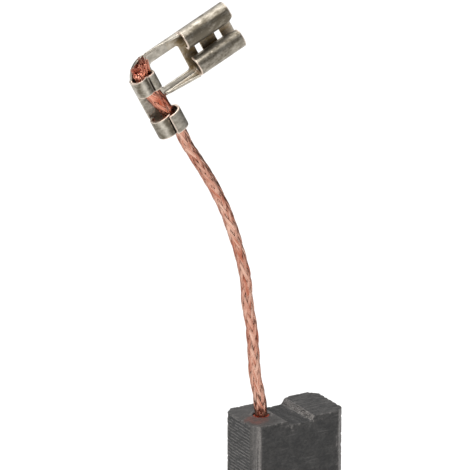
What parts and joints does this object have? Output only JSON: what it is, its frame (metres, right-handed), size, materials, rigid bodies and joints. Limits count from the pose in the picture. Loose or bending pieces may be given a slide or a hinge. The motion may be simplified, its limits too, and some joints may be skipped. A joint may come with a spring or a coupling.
{
  "type": "carbon brush",
  "caption": "Rectangular graphite brush block with a spring groove, a braided copper lead and a folded flag receptacle crimped on its end.",
  "frame": {"origin": "centre of the block's flat wear face", "axes": "+Z along the brush from the wear face to the lead, X across the block's width, Y along the spring groove, -Y towards the side that the terminal's rolls face"},
  "size_m": [0.0261, 0.0072, 0.0704],
  "materials": {
    "graphite": "matte",
    "copper_powder": "matte",
    "copper_braid": "satin",
    "plated_sheet": "satin"
  },
  "bodies": {
    "root": {"carbon_block": "graphite", "tamped_powder": "copper_powder", "lead": "copper_braid", "terminal": "plated_sheet"}
  },
  "joints": []
}
